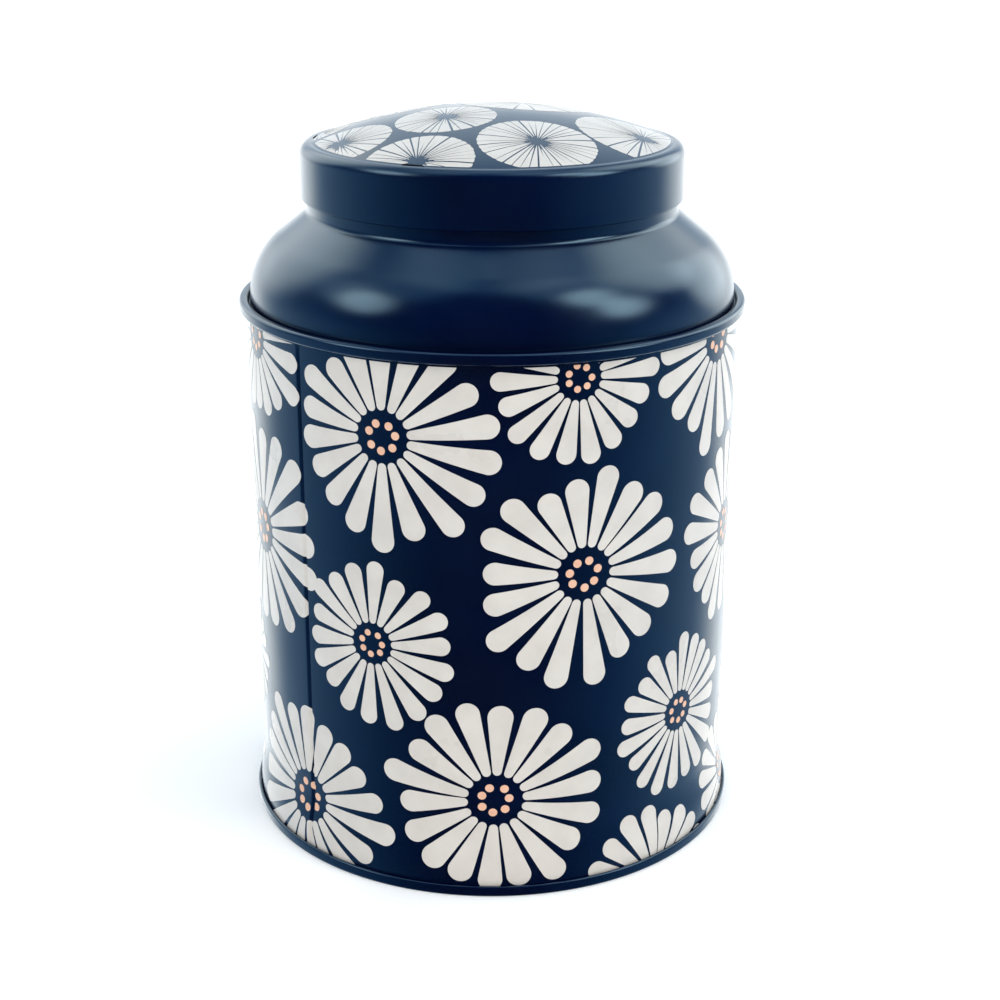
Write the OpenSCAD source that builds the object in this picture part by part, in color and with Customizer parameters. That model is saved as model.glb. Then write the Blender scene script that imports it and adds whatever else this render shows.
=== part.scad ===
// Round cookie tin with a shoulder, a neck and a slip lid.
// Four thin pressed sheets: lid, shoulder, body wall and base.
// The foot stands on z = 0 and the axis is Z. Units are millimetres.

/* [Sheet] */
// Thickness of the tinplate
sheet_t = 0.3; // [0.25:0.01:0.3]

/* [Body] */
// Outside diameter of the straight wall
body_d = 144; // [140:1:147]
// Height from the table to the top of the upper seam
body_h = 159.7; // [100:0.1:220]
// How far the foot of the wall flares out on each side
flare_out = 1.7; // [1:0.1:2.5]
// Height at which the flare begins
flare_top = 20; // [15:1:30]
// Height at which the flare is full
flare_low = 5; // [4:0.5:8]
// Direction of the side seam about the axis, from +X towards +Y
side_seam_angle = 223.5; // [0:0.5:359.5]
// Width of the folded lock seam inside the wall
side_seam_w = 5; // [3:0.5:8]
// Width of the groove that the side seam leaves outside
side_groove_w = 0.9; // [0.5:0.1:1.5]
// Depth of that groove
side_groove_d = 0.2; // [0.1:0.05:0.25]

/* [Seams] */
// Height of both double seams
seam_h = 3.2; // [3:0.1:4]
// How far the upper seam stands out from the wall
top_seam_out = 2; // [1.8:0.1:2.6]
// How far the lower seam stands out from the flared wall
base_seam_out = 1.2; // [1.2:0.1:1.8]

/* [Base] */
// Height of the recessed base panel above the table
panel_rise = 4.2; // [3.8:0.1:8]
// Height of the raised centre above the rest of the panel
panel_step = 0.8; // [0.5:0.1:1.5]
// Radius of the raised centre
panel_step_r = 58; // [30:1:60]

/* [Shoulder] */
// Width of the valley between the upper seam and the shoulder
valley_w = 0.8; // [0.8:0.1:1.5]
// Depth of the valley below the top of the seam
valley_d = 2.2; // [1.5:0.1:3]
// Radius of the round shoulder
shoulder_r = 21.5; // [15:0.5:24]
// Turn of the round shoulder from upright, up to its straight slope
shoulder_turn = 52; // [46:1:60]
// Radius of the bend between the slope and the neck
neck_bend_r = 2; // [1:0.1:4]
// Height of the neck's mouth above the upper seam
mouth_h = 43.1; // [41:0.1:60]
// Outside radius of the curl round the mouth
curl_r = 0.9; // [0.8:0.05:1]

/* [Lid] */
// Outside diameter of the lid's skirt
lid_d = 110.2; // [106:0.2:112]
// Height of the skirt and its rounded corner
lid_h = 15.9; // [14:0.1:17]
// Radius of the corner between skirt and top
lid_corner_r = 3; // [3:0.1:3.5]
// Width of the flat ledge between corner and dome
ledge_w = 0.5; // [0.3:0.1:2]
// Rise of the dome above the ledge
dome_h = 9.4; // [5:0.1:20]
// Gap between the top of the mouth and the inside of the ledge
mouth_gap = 0.4; // [0.3:0.05:1]
// Gap between the lid's hem and the neck
lid_gap = 0.35; // [0.3:0.05:0.6]
// Height of the hem folded inside the skirt
hem_h = 1.6; // [1.5:0.1:3]

/* [Hidden] */
$fn = 180;

navy = [0.02, 0.07, 0.16];
half_t = sheet_t / 2;
fold_gap = 0.15;
fold_step = sheet_t + fold_gap;
hem_r = 0.45;
curl_turn = 290;
base_corner_r = 0.5;
top_corner_r = 0.9;
recess_corner_r = 1;
shoulder_lift = 0.3;
lock_t = 3 * sheet_t;
seam_margin = 1;
valley_steps = 6;
bend_steps = 5;
sweep_steps = 12;

// Radii of the sheets' middle lines
wall_r = body_d / 2 - half_t;
foot_r = wall_r + flare_out;
top_fold = top_seam_out / 3;
base_fold = base_seam_out / 3;
skirt_r = lid_d / 2 - half_t;
neck_r = skirt_r - 2 * hem_r - sheet_t - lid_gap;

// Heights of the sheets' middle lines
mouth_z = body_h + mouth_h;
ledge_z = mouth_z + mouth_gap + half_t;
skirt_z = ledge_z + half_t - lid_h;

// Points of an arc, both ends included
function arc(centre, r, from, to, steps) =
    [for (k = [0 : steps]) let(a = from + (to - from) * k / steps) centre + r * [cos(a), sin(a)]];

// Points of an arc that carries on from the point before it
function next_arc(centre, r, from, to, steps) =
    [for (k = [1 : steps]) arc(centre, r, from, to, steps)[k]];

function backwards(path) = [for (k = [len(path) - 1 : -1 : 0]) path[k]];
function unit(v) = v / norm(v);
function left_of(v) = [-v[1], v[0]];

// Neighbours of a point. A path that starts on the axis is mirrored there.
function before(path, k) =
    k > 0 ? path[k - 1] : path[0][0] == 0 ? [-path[1][0], path[1][1]] : 2 * path[0] - path[1];
function after(path, k) = k < len(path) - 1 ? path[k + 1] : 2 * path[k] - path[k - 1];

// The path moved sideways by d, to the left of its direction
function miter(path, k) =
    let(a = left_of(unit(path[k] - before(path, k))),
        b = left_of(unit(after(path, k) - path[k])),
        n = unit(a + b))
    n / (n * a);
function beside(path, d) = [for (k = [0 : len(path) - 1]) path[k] + d * miter(path, k)];

// Section of a sheet that follows a middle line
module sheet_section(path, left = half_t, right = half_t) {
    polygon(concat(beside(path, left), backwards(beside(path, -right))));
}

module pressed_sheet(path) {
    rotate_extrude() sheet_section(path);
}

// Depths into a double seam, measured from its outer flat
function flange_depth(fold) = half_t + fold_step + fold;
function turn_depth(fold) = seam_h - half_t - fold;

// Edge of the wall in a double seam: hook tip, then the bend into the wall.
// up is 1 for a seam that the wall rises from, and -1 for one that it rises to.
function wall_hook(r, fold, flat_z, up) = concat(
    [[r + 2 * fold, flat_z + up * turn_depth(fold)]],
    arc([r + fold, flat_z + up * flange_depth(fold)], fold, 0, -up * 180, sweep_steps));

// Edge of an end sheet in a double seam, from inside the wall to the hook tip
function end_hook(r, fold, corner, flat_z, up) =
    let(inside = r - fold_step,
        outside = r + 3 * fold,
        corner_z = flat_z + up * (half_t + corner))
    concat(
        arc([inside + corner, corner_z], corner, 180, 180 + up * 90, bend_steps),
        arc([outside - corner, corner_z], corner, -up * 90, 0, bend_steps),
        arc([r + 2 * fold, flat_z + up * turn_depth(fold)], fold, 0, up * 180, sweep_steps),
        [[r + fold, flat_z + up * flange_depth(fold)]]);

// Flare of the wall: two equal arcs that meet half way
flare_h = flare_top - flare_low;
flare_bend_r = (pow(flare_h, 2) + pow(flare_out, 2)) / (4 * flare_out);
flare_turn = asin(flare_h / 2 / flare_bend_r);
flare_path = concat(
    arc([foot_r - flare_bend_r, flare_low], flare_bend_r, 0, flare_turn, sweep_steps),
    next_arc([wall_r + flare_bend_r, flare_top], flare_bend_r, 180 + flare_turn, 180, sweep_steps));
wall_path = concat(
    wall_hook(foot_r, base_fold, 0, 1),
    flare_path,
    backwards(wall_hook(wall_r, top_fold, body_h, -1)));

// The same stretch of wall, kept clear of the two double seams
seam_stretch = concat(
    [[foot_r, seam_h + seam_margin]],
    flare_path,
    [[wall_r, body_h - seam_h - seam_margin]]);

module body_wall() {
    fold_turn = side_seam_w / wall_r * 180 / PI;
    groove_turn = side_groove_w / wall_r * 180 / PI;
    color(navy) difference() {
        union() {
            pressed_sheet(wall_path);
            // the folded edges of the sheet, pressed flat inside the wall
            rotate([0, 0, side_seam_angle - fold_turn / 2])
                rotate_extrude(angle = fold_turn)
                    sheet_section(seam_stretch, left = half_t + lock_t, right = 0);
        }
        // the groove along the outside of the side seam
        rotate([0, 0, side_seam_angle - groove_turn / 2])
            rotate_extrude(angle = groove_turn)
                sheet_section(seam_stretch, left = side_groove_d - half_t, right = sheet_t);
    }
}

// Base: raised centre, panel, wall of the recess and the seam
recess_r = foot_r - fold_step;
base_path = concat(
    [[0, panel_rise + panel_step], [panel_step_r, panel_rise + panel_step],
     [panel_step_r + panel_step, panel_rise]],
    arc([recess_r - recess_corner_r, panel_rise - recess_corner_r], recess_corner_r, 90, 0, bend_steps),
    end_hook(foot_r, base_fold, base_corner_r, 0, 1));

module base() {
    color(navy) pressed_sheet(base_path);
}

// Shoulder: mouth curl, neck, straight slope, round shoulder, valley and the seam
valley_r = valley_w / 2;
valley_z = body_h - valley_d + valley_r;
chuck_r = wall_r - fold_step;
shoulder_out_r = chuck_r - valley_w;
shoulder_centre = [shoulder_out_r - shoulder_r, body_h + shoulder_lift];
neck_bend_x = neck_r + neck_bend_r;
neck_bend_z = shoulder_centre[1] + (shoulder_r + neck_bend_r
    + cos(shoulder_turn) * (shoulder_centre[0] - neck_bend_x)) / sin(shoulder_turn);
curl_bend_r = curl_r - half_t;
curl_centre = [neck_r - curl_bend_r, mouth_z - curl_r];
shoulder_path = concat(
    arc(curl_centre, curl_bend_r, curl_turn, 0, 2 * sweep_steps),
    arc([neck_bend_x, neck_bend_z], neck_bend_r, 180, 180 + shoulder_turn, sweep_steps),
    arc(shoulder_centre, shoulder_r, shoulder_turn, 0, 2 * sweep_steps),
    arc([chuck_r - valley_r, valley_z], valley_r, 180, 360, valley_steps),
    end_hook(wall_r, top_fold, top_corner_r, body_h, -1));

module shoulder() {
    color(navy) pressed_sheet(shoulder_path);
}

// Lid: dome, ledge, corner, skirt and the hem rolled inside it
corner_bend_r = lid_corner_r - half_t;
dome_edge_r = skirt_r - corner_bend_r - ledge_w;
dome_r = (pow(dome_edge_r, 2) + pow(dome_h, 2)) / (2 * dome_h);
dome_turn = asin(dome_edge_r / dome_r);
lid_path = concat(
    arc([0, ledge_z + dome_h - dome_r], dome_r, 90, 90 - dome_turn, sweep_steps),
    arc([skirt_r - corner_bend_r, ledge_z - corner_bend_r], corner_bend_r, 90, 0, sweep_steps),
    arc([skirt_r - hem_r, skirt_z + half_t + hem_r], hem_r, 0, -180, sweep_steps),
    [[skirt_r - 2 * hem_r, skirt_z + hem_h]]);

module lid() {
    color(navy) pressed_sheet(lid_path);
}

base();
body_wall();
shoulder();
lid();
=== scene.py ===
"""Looks of the round cookie tin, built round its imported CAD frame.

Lengths are millimetres, and MM turns them into Blender's metres. The front of the tin faces -Y.
Angles round the tin are in degrees from the front, and grow towards +X.
"""

import math
import random

import bmesh
import bpy
from mathutils import Matrix, Vector


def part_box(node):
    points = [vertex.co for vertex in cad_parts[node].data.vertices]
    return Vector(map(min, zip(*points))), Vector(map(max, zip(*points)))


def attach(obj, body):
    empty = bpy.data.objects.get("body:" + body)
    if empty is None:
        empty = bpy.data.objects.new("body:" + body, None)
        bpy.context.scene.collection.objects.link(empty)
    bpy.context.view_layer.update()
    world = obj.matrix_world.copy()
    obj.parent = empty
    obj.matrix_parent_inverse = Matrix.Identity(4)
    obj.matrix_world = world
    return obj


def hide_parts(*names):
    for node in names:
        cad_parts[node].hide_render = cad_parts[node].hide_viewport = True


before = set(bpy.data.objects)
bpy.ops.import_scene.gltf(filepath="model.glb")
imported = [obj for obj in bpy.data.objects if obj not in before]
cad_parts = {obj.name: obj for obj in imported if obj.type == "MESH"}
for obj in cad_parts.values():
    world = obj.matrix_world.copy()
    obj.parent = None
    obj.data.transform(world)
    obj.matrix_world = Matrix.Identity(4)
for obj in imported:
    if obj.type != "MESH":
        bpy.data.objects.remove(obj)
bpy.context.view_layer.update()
MM = 0.001


# ---------------------------------------------------------------- sizes


def reach(node, low, high):
    """Largest distance from the axis of a CAD node's points between two heights."""
    points = [v.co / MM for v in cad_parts[node].data.vertices]
    return max(math.hypot(p.x, p.y) for p in points if low <= p.z <= high)


SHEET = 0.3
HALF = SHEET / 2
FOLD_GAP = 0.15
FOLD_STEP = SHEET + FOLD_GAP
SEAM_H = 3.2
FLARE_LOW = 5.0
FLARE_TOP = 20.0
SIDE_SEAM = -46.5
# Room for the bands of height in which the CAD's radii are read
SLACK = 0.1
SEAM_CLEAR = 2.0

mouth_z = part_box("shoulder")[1].z / MM
rim_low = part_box("shoulder")[0].z / MM
rim_top = rim_low + SEAM_H
skirt_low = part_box("lid")[0].z / MM
apex_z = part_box("lid")[1].z / MM
panel_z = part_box("base")[1].z / MM - HALF
wall_out = reach("body_wall", FLARE_TOP - SLACK, rim_low - SEAM_CLEAR)
foot_out = reach("body_wall", FLARE_LOW - 2 * SLACK, FLARE_LOW + 2 * SLACK)
rim_out = reach("shoulder", rim_low, rim_top)
base_out = reach("base", 0, SEAM_H)
skirt_out = reach("lid", skirt_low, apex_z)

# Middle lines of the sheets
wall_r = wall_out - HALF
foot_r = foot_out - HALF
skirt_r = skirt_out - HALF
rim_fold = (rim_out - wall_out) / 3
base_fold = (base_out - foot_out) / 3


# ---------------------------------------------------------------- sections

# Steps of the arcs
TINY_ARC = 8
SMALL_ARC = 10
HOOK_ARC = 12
FOLD_ARC = 16
HEM_ARC = 14
DOME_ARC = 26
CURL_ARC = 28
SHOULDER_ARC = 32


def arc(centre, r, start, end, steps, skip=0):
    """Points of an arc in the section plane, as (distance from the axis, height)."""
    turns = [start + (end - start) * k / steps for k in range(skip, steps + 1)]
    return [
        (centre[0] + r * math.cos(math.radians(a)), centre[1] + r * math.sin(math.radians(a)))
        for a in turns
    ]


def flange_depth(fold):
    return HALF + FOLD_STEP + fold


def turn_depth(fold):
    return SEAM_H - HALF - fold


def wall_hook(r, fold, flat_z, up):
    """The wall's edge in a double seam, from the hook's tip to the wall."""
    tip = (r + 2 * fold, flat_z + up * turn_depth(fold))
    bend = arc((r + fold, flat_z + up * flange_depth(fold)), fold, 0, -up * 180, FOLD_ARC)
    return [tip] + bend


def end_hook(r, fold, corner, flat_z, up):
    """An end sheet's edge in a double seam, from inside the wall to the hook's tip."""
    inside = r - FOLD_STEP + corner
    outside = r + 3 * fold - corner
    corner_z = flat_z + up * (HALF + corner)
    turn_z = flat_z + up * turn_depth(fold)
    return (
        arc((inside, corner_z), corner, 180, 180 + up * 90, TINY_ARC)
        + arc((outside, corner_z), corner, -up * 90, 0, TINY_ARC)
        + arc((r + 2 * fold, turn_z), fold, 0, up * 180, HOOK_ARC)
        + [(r + fold, flat_z + up * flange_depth(fold))]
    )


FLARE_H = FLARE_TOP - FLARE_LOW
flare_out = foot_out - wall_out
flare_bend = (FLARE_H**2 + flare_out**2) / (4 * flare_out)
flare_turn = math.degrees(math.asin(FLARE_H / 2 / flare_bend))


def wall_path():
    low_bend = (foot_r - flare_bend, FLARE_LOW)
    top_bend = (wall_r + flare_bend, FLARE_TOP)
    return (
        wall_hook(foot_r, base_fold, 0, 1)
        + arc(low_bend, flare_bend, 0, flare_turn, SMALL_ARC)
        + arc(top_bend, flare_bend, 180 + flare_turn, 180, SMALL_ARC, skip=1)
        + wall_hook(wall_r, rim_fold, rim_top, -1)[::-1]
    )


PANEL_STEP = 0.8
PANEL_STEP_R = 58.0
RECESS_CORNER = 1.0
BASE_SEAM_CORNER = 0.5


def base_path():
    low_z = panel_z - PANEL_STEP
    corner = (foot_r - FOLD_STEP - RECESS_CORNER, low_z - RECESS_CORNER)
    return (
        [(0.0, panel_z), (PANEL_STEP_R, panel_z), (PANEL_STEP_R + PANEL_STEP, low_z)]
        + arc(corner, RECESS_CORNER, 90, 0, TINY_ARC)
        + end_hook(foot_r, base_fold, BASE_SEAM_CORNER, 0, 1)
    )


VALLEY_W = 0.8
VALLEY_D = 2.2
SHOULDER_R = 21.5
SHOULDER_LIFT = 0.3
SHOULDER_TURN = 52.0
NECK_BEND = 2.0
RIM_CORNER = 0.9
CURL_R = 0.75
CURL_TURN = 290
HEM_R = 0.45
LID_GAP = 0.35
neck_r = skirt_r - 2 * HEM_R - SHEET - LID_GAP


def shoulder_path():
    chuck_r = wall_r - FOLD_STEP
    valley_r = VALLEY_W / 2
    valley = (chuck_r - valley_r, rim_top - VALLEY_D + valley_r)
    centre = (chuck_r - VALLEY_W - SHOULDER_R, rim_top + SHOULDER_LIFT)
    cos_turn = math.cos(math.radians(SHOULDER_TURN))
    sin_turn = math.sin(math.radians(SHOULDER_TURN))
    bend_x = neck_r + NECK_BEND
    rise = (SHOULDER_R + NECK_BEND + cos_turn * (centre[0] - bend_x)) / sin_turn
    curl = (neck_r - CURL_R, mouth_z - HALF - CURL_R)
    return (
        arc(curl, CURL_R, CURL_TURN, 0, CURL_ARC)
        + arc((bend_x, centre[1] + rise), NECK_BEND, 180, 180 + SHOULDER_TURN, FOLD_ARC)
        + arc(centre, SHOULDER_R, SHOULDER_TURN, 0, SHOULDER_ARC)
        + arc(valley, valley_r, 180, 360, SMALL_ARC)
        + end_hook(wall_r, rim_fold, RIM_CORNER, rim_top, -1)
    )


LID_CORNER = 3.0 - HALF
LEDGE_W = 0.5
DOME_H = 9.4
HEM_H = 1.6
ledge_z = apex_z - HALF - DOME_H
dome_edge = skirt_r - LID_CORNER - LEDGE_W
dome_r = (dome_edge**2 + DOME_H**2) / (2 * DOME_H)
dome_centre_z = ledge_z + DOME_H - dome_r


def lid_path():
    dome_turn = math.degrees(math.asin(dome_edge / dome_r))
    corner = (skirt_r - LID_CORNER, ledge_z - LID_CORNER)
    hem = (skirt_r - HEM_R, skirt_low + HALF + HEM_R)
    return (
        arc((0.0, dome_centre_z), dome_r, 90, 90 - dome_turn, DOME_ARC)
        + arc(corner, LID_CORNER, 90, 0, HEM_ARC)
        + arc(hem, HEM_R, 0, -180, HEM_ARC)
        + [(skirt_r - 2 * HEM_R, skirt_low + HEM_H)]
    )


# ---------------------------------------------------------------- sheet metal

LONGEST_STEP = 4.0
END_STEP = 0.25
SHARP_FROM = 40


def part_way(a, b, share):
    return (a[0] + (b[0] - a[0]) * share, a[1] + (b[1] - a[1]) * share)


def eased(path):
    """The path with more points on its long straight runs, so that shading stays flat there."""
    out = [path[0]]
    for a, b in zip(path, path[1:]):
        length = math.dist(a, b)
        if length > 4 * END_STEP:
            span = length - 2 * END_STEP
            middle = max(1, math.ceil(span / LONGEST_STEP))
            steps = [END_STEP + span * k / middle for k in range(middle + 1)]
            out += [part_way(a, b, step / length) for step in steps]
        out.append(b)
    return out


def beside(path, distance):
    """The path moved to the left of its direction. A path from the axis is mirrored there."""
    points = [Vector(p) for p in path]
    if path[0][0] == 0:
        ahead = Vector((-points[1].x, points[1].y))
    else:
        ahead = 2 * points[0] - points[1]
    points = [ahead] + points + [2 * points[-1] - points[-2]]
    out = []
    for before, here, after in zip(points, points[1:], points[2:]):
        a = (here - before).normalized()
        b = (after - here).normalized()
        left = Vector((-a.y, a.x))
        across = (left + Vector((-b.y, b.x))).normalized()
        moved = here + across * (distance / across.dot(left))
        out.append((moved.x if here.x else 0.0, moved.y))
    return out


def place(angle, r, z):
    """A point in metres from its angle round the tin, radius and height."""
    a = math.radians(angle)
    return (r * math.sin(a) * MM, -r * math.cos(a) * MM, z * MM)


COLUMNS = 240
ROUND = [k * 360 / COLUMNS for k in range(COLUMNS)]


def new_piece(name, mesh, materials, body):
    """A mesh as a piece that rides on a body."""
    piece = bpy.data.objects.new(name, mesh)
    bpy.context.scene.collection.objects.link(piece)
    for material in materials:
        mesh.materials.append(material)
    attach(piece, body)
    return piece


def turned_sheet(name, path, left, right, body, angles=ROUND, shift=None):
    """A closed sheet round the axis. left and right are the materials of its two sides."""
    path = eased(path)
    sides = beside(path, HALF), beside(path, -HALF)
    outline = sides[0] + sides[1][::-1]
    is_left = [True] * len(path) + [False] * len(path)
    count = len(outline)
    area = 0.0
    for (r0, z0), (r1, z1) in zip(outline[-1:] + outline, outline):
        area += r0 * z1 - r1 * z0
    points = []
    rings = []
    for k, (r, z) in enumerate(outline):
        if r == 0:
            rings.append([len(points)] * len(angles))
            points.append(place(0, 0, z))
            continue
        rings.append(list(range(len(points), len(points) + len(angles))))
        for angle in angles:
            moved = shift(is_left[k], angle, z) if shift else 0
            points.append(place(angle, r + moved, z))
    faces = []
    side_of = []
    for k in range(count):
        here, after = rings[k - 1], rings[k]
        if outline[k - 1][0] == 0 and outline[k][0] == 0:
            continue
        for j in range(len(angles)):
            quad = [here[j - 1], here[j], after[j], after[j - 1]]
            if area < 0:
                quad.reverse()
            faces.append(list(dict.fromkeys(quad)))
            side_of.append(0 if is_left[k] else 1)
    mesh = bpy.data.meshes.new(name)
    mesh.from_pydata(points, [], faces)
    mesh.polygons.foreach_set("material_index", side_of)
    mesh.shade_smooth()
    mesh.set_sharp_from_angle(angle=math.radians(SHARP_FROM))
    return new_piece(name, mesh, [left, right], body)


# ---------------------------------------------------------------- side seam

GROOVE_D = 0.75
GROOVE_SLOPE = 1.5
GROOVE_STEP = 0.25
RIDGE_T = 3 * SHEET
RIDGE_HALF = 2.4
RIDGE_EDGE = 0.3
SEAM_END = 1.5


def past_seam(angle):
    """Distance along the wall from the side seam, to its right."""
    away = (angle - SIDE_SEAM + 180) % 360 - 180
    return math.radians(away) * wall_out


def groove(s, z):
    """Depth of the side seam's groove: a slope up to its edge, then a steep step back."""
    from_ends = min(z - SEAM_H, rim_low - z) / SEAM_END
    fade = max(0.0, min(1.0, from_ends))
    if -GROOVE_SLOPE < s <= 0:
        return fade * GROOVE_D * (s + GROOVE_SLOPE) / GROOVE_SLOPE
    if 0 < s < GROOVE_STEP:
        return fade * GROOVE_D * (1 - s / GROOVE_STEP)
    return 0.0


def wall_shift(is_inner, angle, z):
    """Radial change of the wall at the side seam: a groove outside, the folded ridge inside."""
    if not SEAM_H < z < rim_low:
        return 0.0
    s = past_seam(angle)
    if not is_inner:
        return -groove(s, z)
    rise = (RIDGE_HALF + RIDGE_EDGE - abs(s)) / RIDGE_EDGE
    return -RIDGE_T * max(0.0, min(1.0, rise))


# Distances from the side seam of the wall's fine columns, and where the even ones begin
LEFT_OF_SEAM = [-3.2, -2.7, -2.4, -1.9, -1.6, -1.45, -1.2, -0.8, -0.4, -0.1]
RIGHT_OF_SEAM = [0.0, 0.1, 0.2, 0.27, 0.4, 0.8, 1.4, 2.0, 2.4, 2.7, 3.2]
EVEN_FROM = 3.6


def wall_angles():
    """Even steps round the tin, with fine ones across the side seam."""
    at_seam = [SIDE_SEAM + math.degrees(s / wall_out) for s in LEFT_OF_SEAM + RIGHT_OF_SEAM]
    even = [a for a in ROUND if abs(past_seam(a)) > EVEN_FROM]
    return sorted(a % 360 for a in at_seam + even)


# ---------------------------------------------------------------- print

INK_UP = 0.04
INK_DOWN = 0.05
LONGEST_CELL = 2.5
SLOPE_STEP = 0.02


def wall_surface(z):
    """Outside radius of the wall at a height, and how fast it changes with height."""
    if z >= FLARE_TOP:
        return wall_out, 0.0
    if z <= FLARE_LOW:
        return foot_out, 0.0
    if z >= (FLARE_TOP + FLARE_LOW) / 2:
        bend = flare_bend - HALF
        drop = FLARE_TOP - z
        side = math.sqrt(bend**2 - drop**2)
        return wall_out + bend - side, -drop / side
    bend = flare_bend + HALF
    rise = z - FLARE_LOW
    side = math.sqrt(bend**2 - rise**2)
    return foot_out - bend + side, -rise / side


def on_wall(s, z, up):
    """A point of the print on the wall, and the wall's normal there."""
    angle = math.degrees(s / wall_out)
    r, slope = wall_surface(z)
    past = past_seam(angle)
    rise = groove(past + SLOPE_STEP, z) - groove(past - SLOPE_STEP, z)
    lean = rise / (2 * SLOPE_STEP)
    a = math.radians(angle)
    out = Vector((math.sin(a), -math.cos(a), 0))
    along = Vector((math.cos(a), math.sin(a), 0))
    normal = (out - Vector((0, 0, slope)) + along * lean).normalized()
    point = Vector(place(angle, r - groove(past, z), z)) + normal * (up * MM)
    return point, normal


def on_dome(x, y, up):
    """A point of the print on the lid's dome, and the dome's normal there."""
    r = dome_r + HALF + up
    height = math.sqrt(r**2 - x**2 - y**2)
    normal = Vector((x, y, height)) / r
    return Vector((x, y, dome_centre_z + height)) * MM, normal


def ink_piece(name, flat, surface, material, body):
    """The flat shapes in a bmesh as thin closed ink on a surface."""
    flat.verts.index_update()
    flat.faces.ensure_lookup_table()
    count = len(flat.verts)
    above = [surface(v.co.x, v.co.y, INK_UP) for v in flat.verts]
    below = [surface(v.co.x, v.co.y, -INK_DOWN) for v in flat.verts]
    tops = [[v.index for v in f.verts] for f in flat.faces]
    faces = tops + [[k + count for k in reversed(f)] for f in tops]
    for edge in flat.edges:
        if edge.is_boundary:
            loop = edge.link_loops[0]
            a, b = loop.vert.index, loop.link_loop_next.vert.index
            faces.append([b, a, a + count, b + count])
    flat.free()
    mesh = bpy.data.meshes.new(name)
    mesh.from_pydata([p for p, _ in above + below], [], faces)
    mesh.shade_smooth()
    normals = [n for _, n in above] + [-n for _, n in below]
    mesh.normals_split_custom_set_from_vertices(normals)
    return new_piece(name, mesh, [material], body)


def add_grid(flat, rows):
    """Joins rows of points with faces. A row of one point closes the shape."""
    made = [[flat.verts.new((x, y, 0)) for x, y in row] for row in rows]
    for low, high in zip(made, made[1:]):
        for k in range(max(len(low), len(high)) - 1):
            a, b = (low[0], low[0]) if len(low) == 1 else (low[k], low[k + 1])
            c, d = (high[0], high[0]) if len(high) == 1 else (high[k + 1], high[k])
            flat.faces.new(list(dict.fromkeys([a, b, c, d])))


ACROSS = (1.0, 0.5, 0.0, -0.5, -1.0)
ROOT_ARC = 3
TIP_ARC = 9
NO_WIDTH = 1e-6


def petal_rows(inner, outer, narrow, wide):
    """(distance, half width) along a petal: small round root, straight sides, wide round tip."""
    low, high = inner + narrow, outer - wide
    lean = math.degrees(math.asin((wide - narrow) / (high - low)))
    root = arc((low, 0), narrow, 180, 90 + lean, ROOT_ARC)
    tip = arc((high, 0), wide, 90 + lean, 0, TIP_ARC)
    steps = math.ceil((tip[0][0] - root[-1][0]) / LONGEST_CELL)
    sides = [part_way(root[-1], tip[0], k / steps) for k in range(1, steps)]
    return root + sides + tip


def add_petal(flat, centre, angle, rows):
    """One petal that points away from centre at an angle."""
    c, s = math.cos(angle), math.sin(angle)
    x, y = centre
    grid = []
    for along, half in rows:
        shares = ACROSS if half > NO_WIDTH else (0.0,)
        grid.append(
            [(x + c * along - s * half * f, y + s * along + c * half * f) for f in shares]
        )
    add_grid(flat, grid)


DISC_CORNERS = 20


def add_disc(flat, centre, r):
    """A round dot."""
    x, y = centre
    spokes = [2 * math.pi * k / DISC_CORNERS for k in range(DISC_CORNERS)]
    middle = flat.verts.new((x, y, 0))
    rim = [flat.verts.new((x + r * math.cos(a), y + r * math.sin(a), 0)) for a in spokes]
    for a, b in zip(rim, rim[1:] + rim[:1]):
        flat.faces.new([middle, a, b])


CUT_SLACK = 1e-6


def cut(flat, point, normal, clear):
    """Cuts the flat shapes along a line, and drops what lies beyond it if clear is set."""
    everything = flat.verts[:] + flat.edges[:] + flat.faces[:]
    bmesh.ops.bisect_plane(
        flat,
        geom=everything,
        dist=CUT_SLACK,
        plane_co=point,
        plane_no=normal,
        clear_outer=clear,
    )


# Daisies of one repeat of the print: angle, height, radius, how much longer the petals are
# to the right and upwards, turn of the first petal, number of petals.
# The repeat fills half of the tin, and comes once more on the back.
DAISIES = [
    (-67.5, 153.0, 26.5, 1.5, 3.0, 12, 18),
    (-24.0, 135.0, 29.3, 1.6, -1.0, 10, 18),
    (18.5, 152.0, 24.0, -1.0, 1.5, 0, 18),
    (60.5, 155.0, 29.5, 3.0, -2.5, 0, 18),
    (-68.0, 95.5, 31.3, 1.8, 1.5, 5, 18),
    (20.4, 96.7, 30.3, 0.0, -1.5, 16, 18),
    (71.5, 95.0, 28.0, 0.5, 1.0, 10, 18),
    (-27.6, 74.3, 24.3, 0.8, -1.0, 6, 18),
    (48.9, 45.6, 24.5, 0.8, -1.5, 14, 20),
    (-48.6, 18.0, 31.0, -0.5, -1.5, 13, 19),
    (0.8, 29.7, 31.0, 0.5, 1.0, 6, 18),
    (41.0, -5.5, 26.0, -1.0, -3.0, 16, 18),
    (78.0, 11.0, 24.0, 3.0, 0.5, 8, 18),
    (96.0, 50.0, 19.0, 0.0, 0.0, 3, 18),
]
# Angle and radius on the back of the two daisies that would overlap the front ones there
BACK_FITS = {4: (-63.5, 25.0), 6: (67.5, 25.0)}
# Petals, as shares of the daisy's radius. The two widths are divided by the number of petals.
PETAL_START = 0.25
PETAL_NARROW = 0.75
PETAL_WIDE = (1.95, 2.13)
PETAL_LENGTH = (0.91, 1.09)
PETAL_SWAY = 0.9
# Ring of dots, in shares of the radius too
DOTS = 7
DOT_R = 0.04
DOT_RING = (0.125, 0.145)
DOT_SWAY = 5
# Heights between which the wall is printed
BAND_TOP = 155.6
BAND_LOW = SEAM_H - 0.4
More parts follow.
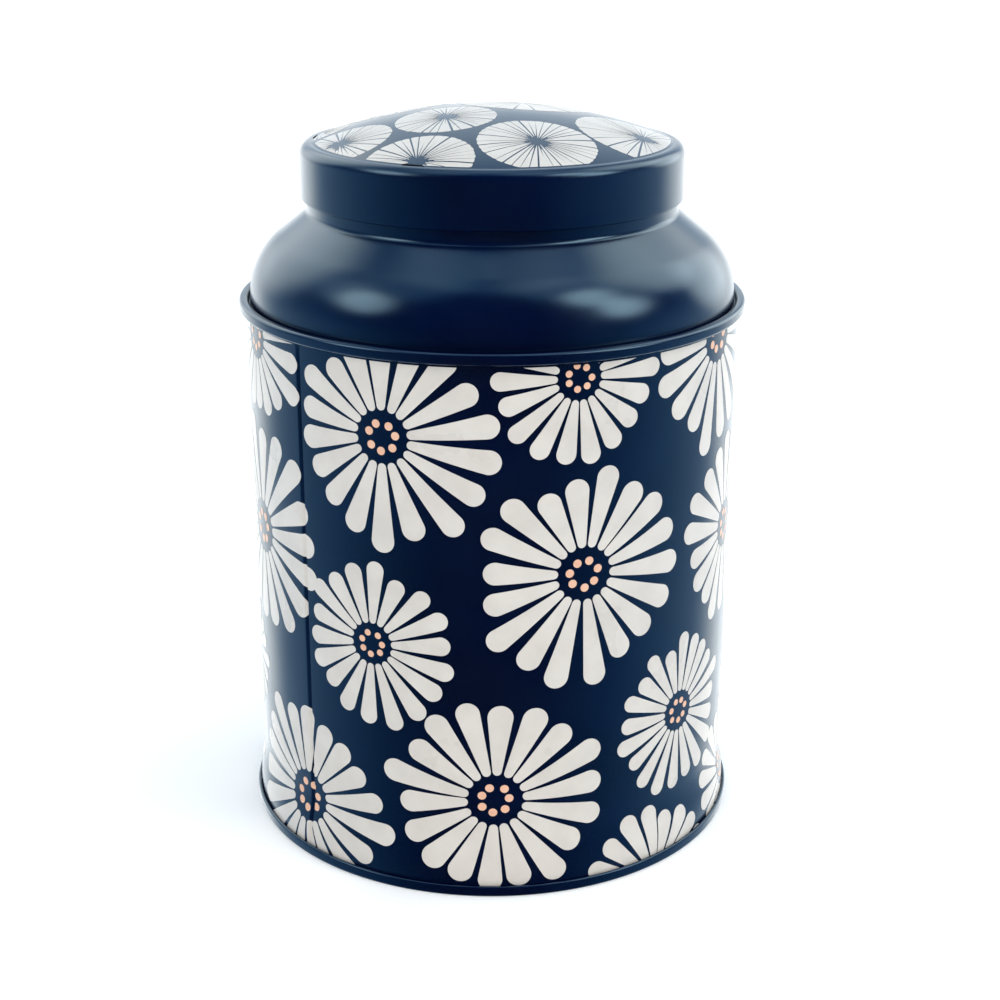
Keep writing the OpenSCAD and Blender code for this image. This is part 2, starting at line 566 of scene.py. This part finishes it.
# Lines beside the side seam along which the print is cut, to follow the groove
SEAM_CUTS = (-1.55, -1.45, -1.0, -0.5, -0.05, 0.05, 0.2, 0.3)


def draw_daisy(petals, dots, daisy, seed, repeat):
    """One daisy: tapered petals round an open centre with a ring of dots."""
    rng = random.Random(seed)
    angle, height, radius, more_right, more_up, turn, count = daisy
    s = math.radians(angle + repeat) * wall_out
    for k in range(count):
        a = math.radians(turn + 360 * k / count + rng.uniform(-PETAL_SWAY, PETAL_SWAY))
        length = radius + more_right * math.cos(a) + more_up * math.sin(a)
        outer = length * rng.uniform(*PETAL_LENGTH)
        wide = radius * rng.uniform(*PETAL_WIDE) / count
        narrow = radius * PETAL_NARROW / count
        rows = petal_rows(radius * PETAL_START, outer, narrow, wide)
        add_petal(petals, (s, height), a, rows)
    for k in range(DOTS):
        a = math.radians(turn + 360 * k / DOTS + rng.uniform(-DOT_SWAY, DOT_SWAY))
        r = radius * rng.uniform(*DOT_RING)
        dot = (s + r * math.cos(a), height + r * math.sin(a))
        add_disc(dots, dot, radius * DOT_R)


def body_print(cream, peach):
    """Daisies round the wall, twice over, cut off at both ends of the printed band."""
    petals = bmesh.new()
    dots = bmesh.new()
    seam_s = math.radians(SIDE_SEAM) * wall_out
    for repeat in (0, 180):
        for seed, daisy in enumerate(DAISIES):
            if repeat and seed in BACK_FITS:
                angle, radius = BACK_FITS[seed]
                daisy = (angle, daisy[1], radius) + daisy[3:]
            draw_daisy(petals, dots, daisy, seed, repeat)
    for flat in (petals, dots):
        cut(flat, (0, BAND_TOP, 0), (0, 1, 0), True)
        cut(flat, (0, BAND_LOW, 0), (0, -1, 0), True)
        for s in SEAM_CUTS:
            cut(flat, (seam_s + s, 0, 0), (1, 0, 0), False)
    ink_piece("body_print_petals", petals, on_wall, cream, "tin")
    ink_piece("body_print_dots", dots, on_wall, peach, "tin")


# Round flowers on the lid: place across, place back, radius.
LID_FLOWERS = [
    (12.0, -35.0, 16.3),
    (-20.0, -45.0, 15.5),
    (-13.0, -13.5, 14.3),
    (-42.0, -21.0, 14.5),
    (42.0, -15.0, 19.0),
    (9.0, 14.0, 19.0),
    (-30.0, 22.0, 18.0),
    (-6.0, 49.0, 14.5),
    (33.0, 38.0, 14.3),
    (-50.0, 4.0, 9.0),
]
RAYS = 42
RAY_SWAY = 0.02
RAY_GAP = 0.42
GAP_CHANGE = (0.6, 1.2)
# How much of its width a gap loses on its way out
GAP_TAPER = 0.45
RAY_START = (1.1, 1.5)
RAY_LENGTH = (0.993, 1.004)
# How much shorter a ray is at its two corners
RAY_ROUND = 0.01
RAY_ROWS = 3
FIRST_LID_SEED = 100
LID_PRINT_R = 50.9


def reach_inside(x, y, angle, limit):
    """How far a line from a point runs before it leaves a circle round the axis."""
    c, s = math.cos(angle), math.sin(angle)
    toward = x * c + y * s
    return -toward + math.sqrt(toward**2 + limit**2 - x**2 - y**2)


def draw_lid_flower(flat, flower, seed):
    """Narrow wedges with thin gaps between them, which run together at the centre."""
    rng = random.Random(FIRST_LID_SEED + seed)
    x, y, radius = flower
    step = math.pi / RAYS
    for k in range(RAYS):
        middle = 2 * step * k + rng.uniform(-RAY_SWAY, RAY_SWAY)
        gap = RAY_GAP * rng.uniform(*GAP_CHANGE)
        start = gap / 2 / step * rng.uniform(*RAY_START)
        length = radius * rng.uniform(*RAY_LENGTH)
        rows = []
        count = math.ceil((length - start) / LONGEST_CELL) + RAY_ROWS
        for row in range(count + 1):
            share = row / count
            points = []
            for f in ACROSS:
                rounded = length * (1 - RAY_ROUND * f * f)
                at = start + (rounded - start) * share
                spread = step - gap * (1 - GAP_TAPER * share) / 2 / at
                a = middle + f * spread
                end = reach_inside(x, y, a, LID_PRINT_R)
                at = min(at, start + (end - start) * share)
                points.append((x + at * math.cos(a), y + at * math.sin(a)))
            rows.append(points)
        add_grid(flat, rows)


def lid_print(cream):
    """Rayed flowers on the dome, cut off at its edge."""
    flat = bmesh.new()
    for seed, flower in enumerate(LID_FLOWERS):
        draw_lid_flower(flat, flower, seed)
    ink_piece("lid_print_flowers", flat, on_dome, cream, "lid")


# ---------------------------------------------------------------- materials


def new_material(name):
    """A material with its Principled node and a coordinate in millimetres."""
    material = bpy.data.materials.new(name)
    material.use_nodes = True
    tree = material.node_tree
    shader = tree.nodes["Principled BSDF"]
    where = tree.nodes.new("ShaderNodeTexCoord")
    scale = tree.nodes.new("ShaderNodeVectorMath")
    scale.operation = "SCALE"
    scale.inputs["Scale"].default_value = 1 / MM
    tree.links.new(where.outputs["Object"], scale.inputs[0])
    return material, tree, shader, scale.outputs[0]


def noise(tree, where, size, detail=2.0):
    """Noise with features of about size millimetres."""
    node = tree.nodes.new("ShaderNodeTexNoise")
    node.inputs["Scale"].default_value = 1 / size
    node.inputs["Detail"].default_value = detail
    tree.links.new(where, node.inputs["Vector"])
    return node.outputs["Fac"]


def mapped(tree, value, low, high, to_low, to_high):
    """A value stretched from one range to another."""
    node = tree.nodes.new("ShaderNodeMapRange")
    node.inputs["From Min"].default_value = low
    node.inputs["From Max"].default_value = high
    node.inputs["To Min"].default_value = to_low
    node.inputs["To Max"].default_value = to_high
    tree.links.new(value, node.inputs["Value"])
    return node.outputs["Result"]


def mixed(tree, share, first, second):
    """Two colours mixed by a share."""
    node = tree.nodes.new("ShaderNodeMix")
    node.data_type = "RGBA"
    node.inputs["A"].default_value = (*first, 1)
    node.inputs["B"].default_value = (*second, 1)
    tree.links.new(share, node.inputs["Factor"])
    return node.outputs["Result"]


def bumped(tree, shader, layers):
    """Bump from (height, depth in millimetres) layers."""
    normal = None
    for height, depth in layers:
        node = tree.nodes.new("ShaderNodeBump")
        node.inputs["Distance"].default_value = depth * MM
        tree.links.new(height, node.inputs["Height"])
        if normal:
            tree.links.new(normal, node.inputs["Normal"])
        normal = node.outputs["Normal"]
    tree.links.new(normal, shader.inputs["Normal"])


# Sizes and depths of the surface's details, and the range of noise that counts for each
MOTTLE_RANGE = (0.35, 0.65)
HAZE_RANGE = (0.3, 0.7)
HAZE_SIZE = 18
LESS_ROUGH = 0.035
MORE_ROUGH = 0.045
WAVE_SIZE = 26
TIN_WAVE_SIZE = 24
WAVE_DEPTH = 0.12
PEEL_SIZE = 0.9
PEEL_DEPTH = 0.004
GRAIN_SIZE = 0.6
GRAIN_STRETCH = 0.04
GRAIN_DEPTH = 0.002
TIN_COLORS = ((0.5, 0.5, 0.48), (0.72, 0.71, 0.68))
TIN_ROUGHNESS = (0.24, 0.38)


def glossy_paint(name, first, second, rough, mottle_size):
    """Baked lacquer or ink: soft gloss, a slight mottle and the tin's own unevenness below it."""
    material, tree, shader, where = new_material(name)
    mottle = mapped(tree, noise(tree, where, mottle_size, 3), *MOTTLE_RANGE, 0, 1)
    tree.links.new(mixed(tree, mottle, first, second), shader.inputs["Base Color"])
    haze = noise(tree, where, HAZE_SIZE, 4)
    roughness = mapped(tree, haze, *HAZE_RANGE, rough - LESS_ROUGH, rough + MORE_ROUGH)
    tree.links.new(roughness, shader.inputs["Roughness"])
    waves = noise(tree, where, WAVE_SIZE, 1)
    peel = noise(tree, where, PEEL_SIZE, 2)
    bumped(tree, shader, [(waves, WAVE_DEPTH), (peel, PEEL_DEPTH)])
    return material


def bare_tin(name):
    """Rolled tinplate: bright metal with a fine upright grain."""
    material, tree, shader, where = new_material(name)
    shader.inputs["Metallic"].default_value = 1.0
    stretch = tree.nodes.new("ShaderNodeVectorMath")
    stretch.operation = "MULTIPLY"
    stretch.inputs[1].default_value = (1, 1, GRAIN_STRETCH)
    tree.links.new(where, stretch.inputs[0])
    grain = noise(tree, stretch.outputs[0], GRAIN_SIZE, 3)
    tree.links.new(mixed(tree, grain, *TIN_COLORS), shader.inputs["Base Color"])
    roughness = mapped(tree, grain, *HAZE_RANGE, *TIN_ROUGHNESS)
    tree.links.new(roughness, shader.inputs["Roughness"])
    waves = noise(tree, where, TIN_WAVE_SIZE, 1)
    bumped(tree, shader, [(waves, WAVE_DEPTH), (grain, GRAIN_DEPTH)])
    return material


# ---------------------------------------------------------------- the tin

NAVY_COLORS = ((0.0002, 0.0025, 0.021), (0.0004, 0.004, 0.028))
CREAM_COLORS = ((0.67, 0.615, 0.56), (0.73, 0.675, 0.615))
PEACH_COLORS = ((0.84, 0.47, 0.31), (0.88, 0.53, 0.36))
NAVY_TINT = (0.55, 0.85, 1, 1)
NAVY_IOR = 1.8

navy = glossy_paint("navy_lacquer", *NAVY_COLORS, rough=0.2, mottle_size=30)
lacquer = navy.node_tree.nodes["Principled BSDF"]
lacquer.inputs["Specular Tint"].default_value = NAVY_TINT
lacquer.inputs["IOR"].default_value = NAVY_IOR
cream = glossy_paint("cream_ink", *CREAM_COLORS, rough=0.3, mottle_size=9)
peach = glossy_paint("peach_ink", *PEACH_COLORS, rough=0.3, mottle_size=3)
tin = bare_tin("bare_tinplate")

body_wall = turned_sheet(
    "body_wall_sheet", wall_path(), tin, navy, "tin", wall_angles(), wall_shift
)
shoulder = turned_sheet("shoulder_sheet", shoulder_path(), navy, tin, "tin")
base = turned_sheet("base_sheet", base_path(), tin, navy, "tin")
lid = turned_sheet("lid_sheet", lid_path(), navy, tin, "lid")
for piece, node in ((body_wall, "body_wall"), (shoulder, "shoulder"), (base, "base"), (lid, "lid")):
    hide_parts(node)
body_print(cream, peach)
lid_print(cream)


# ---------------------------------------------------------------- studio

# Metres
FLOOR_SIZE = 120
CLIP_START = 0.02
CLIP_END = 100.0
# Camera: place in millimetres, angles in degrees, sensor and lens in millimetres
CAMERA_BACK = 522.0
CAMERA_UP = 281.0
PITCH = 19.74
YAW = 0.267
ROLL = 0.15
LENS = 65.0
SENSOR = 36.0
DAYLIGHT = 1.5
DAYLIGHT_SPREAD = 90.0
DAYLIGHT_TOWARD = (0.0, 0.75, -0.75)
DAYLIGHT_COLOR = (1.0, 0.95, 0.88)
FLOOR_GLOW_COLOR = (1.0, 0.97, 0.92, 1)
FLOOR_GLOW = 0.22
FLOOR_ROUGHNESS = 0.9
FLOOR_SPECULAR = 0.1
FLOOR_COLORS = ((0.9, 0.9, 0.9), (0.93, 0.93, 0.93))
FLOOR_MOTTLE = 60


def add_floor():
    """Pale plain floor with a faint glow of its own. The tin doesn't mirror it."""
    mesh = bpy.data.meshes.new("floor")
    half = FLOOR_SIZE / 2
    corners = [(-half, -half, 0), (half, -half, 0), (half, half, 0), (-half, half, 0)]
    mesh.from_pydata(corners, [], [(0, 1, 2, 3)])
    floor = bpy.data.objects.new("floor", mesh)
    bpy.context.scene.collection.objects.link(floor)
    material, tree, shader, where = new_material("pale_floor")
    shader.inputs["Roughness"].default_value = FLOOR_ROUGHNESS
    shader.inputs["Specular IOR Level"].default_value = FLOOR_SPECULAR
    tone = mixed(tree, noise(tree, where, FLOOR_MOTTLE, 3), *FLOOR_COLORS)
    tree.links.new(tone, shader.inputs["Base Color"])
    shader.inputs["Emission Color"].default_value = FLOOR_GLOW_COLOR
    shader.inputs["Emission Strength"].default_value = FLOOR_GLOW
    mesh.materials.append(material)
    floor.visible_glossy = False


def add_daylight():
    """Wide soft light from the front and above, which lights the floor evenly too."""
    data = bpy.data.lights.new("daylight", "SUN")
    data.energy = DAYLIGHT
    data.angle = math.radians(DAYLIGHT_SPREAD)
    data.color = DAYLIGHT_COLOR
    lamp = bpy.data.objects.new("daylight", data)
    bpy.context.scene.collection.objects.link(lamp)
    lamp.rotation_euler = Vector(DAYLIGHT_TOWARD).to_track_quat("-Z", "Y").to_euler()
    lamp.visible_glossy = False


def smoothed(tree, value, low, high, to_low, to_high):
    """Like mapped, with soft ends."""
    result = mapped(tree, value, low, high, to_low, to_high)
    result.node.interpolation_type = "SMOOTHSTEP"
    return result


def lobe(tree, direction, azimuth, elevation, inner, outer, strength):
    """A soft lamp in the world: full within inner degrees of its direction, gone at outer."""
    a, e = math.radians(azimuth), math.radians(elevation)
    level = math.cos(e)
    node = tree.nodes.new("ShaderNodeVectorMath")
    node.operation = "DOT_PRODUCT"
    node.inputs[1].default_value = (level * math.sin(a), -level * math.cos(a), math.sin(e))
    tree.links.new(direction, node.inputs[0])
    near, far = math.cos(math.radians(inner)), math.cos(math.radians(outer))
    return smoothed(tree, node.outputs["Value"], far, near, 0, strength)


def combined(tree, operation, first, second):
    """A sum, product or the like of two values."""
    node = tree.nodes.new("ShaderNodeMath")
    node.operation = operation
    tree.links.new(first, node.inputs[0])
    tree.links.new(second, node.inputs[1])
    return node.outputs[0]


# Soft lamps of the room: azimuth from the front, elevation, full and outer radius, all in
# degrees, then strength
LAMPS = [
    (-134, 27, 8, 32, 1.6),
    (-86, 36, 4, 18, 0.7),
    (-69, 32, 5, 17, 2.8),
    (-75, 60, 10, 28, 0.5),
    (60, 45, 3, 15, 3.4),
    (68, 26, 4, 15, 4.4),
    (60, 64, 8, 25, 0.7),
    (113, 42, 6, 26, 2.0),
    (130, 14, 6, 26, 2.3),
    (180, 28, 10, 30, 0.6),
]
# Strength of the room: from and to, then the strength at each. The first two are over how far
# back a direction points, from -1 in front of the tin to 1 behind it. The last two are over the
# sine of its elevation, and the third is a share of the first two.
ROOM = (-0.92, 1.0, 0.0, 1.15)
WHITE_WALL = (0.45, 0.85, 0.0, 0.9)
HEIGHT_SHARE = (-0.15, 0.35, 1.0, 0.3)
CEILING = (0.86, 0.955, 0.0, 0.45)
# Colours of its darkest and brightest parts
DIM_COLOR = (0.05, 0.5, 1.0)
BRIGHT_COLOR = (0.92, 0.97, 1.0)
BRIGHT_FROM = 1.6


def add_world():
    """A dim room in front of the tin, soft lamps round it and a white wall behind it."""
    world = bpy.data.worlds.new("studio")
    bpy.context.scene.world = world
    world.use_nodes = True
    tree = world.node_tree
    background = tree.nodes["Background"]
    where = tree.nodes.new("ShaderNodeTexCoord")
    direction = where.outputs["Generated"]
    parts = tree.nodes.new("ShaderNodeSeparateXYZ")
    tree.links.new(direction, parts.inputs[0])
    flat = tree.nodes.new("ShaderNodeVectorMath")
    flat.operation = "MULTIPLY"
    flat.inputs[1].default_value = (1, 1, 0)
    tree.links.new(direction, flat.inputs[0])
    level = tree.nodes.new("ShaderNodeVectorMath")
    level.operation = "LENGTH"
    tree.links.new(flat.outputs[0], level.inputs[0])
    backward = combined(tree, "DIVIDE", parts.outputs["Y"], level.outputs["Value"])
    room = mapped(tree, backward, *ROOM)
    wall = smoothed(tree, backward, *WHITE_WALL)
    share = smoothed(tree, parts.outputs["Z"], *HEIGHT_SHARE)
    ceiling = smoothed(tree, parts.outputs["Z"], *CEILING)
    total = combined(tree, "MULTIPLY", combined(tree, "ADD", room, wall), share)
    total = combined(tree, "ADD", total, ceiling)
    for lamp in LAMPS:
        total = combined(tree, "ADD", total, lobe(tree, direction, *lamp))
    brightness = mapped(tree, total, 0.0, BRIGHT_FROM, 0.0, 1.0)
    tint = mixed(tree, brightness, DIM_COLOR, BRIGHT_COLOR)
    tree.links.new(tint, background.inputs["Color"])
    tree.links.new(total, background.inputs["Strength"])


def add_camera():
    data = bpy.data.cameras.new("camera")
    data.sensor_width = SENSOR
    data.lens = LENS
    data.clip_start = CLIP_START
    data.clip_end = CLIP_END
    camera = bpy.data.objects.new("camera", data)
    bpy.context.scene.collection.objects.link(camera)
    yaw = Matrix.Rotation(math.radians(-YAW), 4, "Z")
    pitch = Matrix.Rotation(math.radians(90 - PITCH), 4, "X")
    roll = Matrix.Rotation(math.radians(ROLL), 4, "Z")
    place_at = Matrix.Translation((0, -CAMERA_BACK * MM, CAMERA_UP * MM))
    camera.matrix_world = place_at @ (yaw @ pitch @ roll)
    bpy.context.scene.camera = camera


add_floor()
add_world()
add_camera()
add_daylight()
bpy.context.scene.view_settings.view_transform = "Standard"
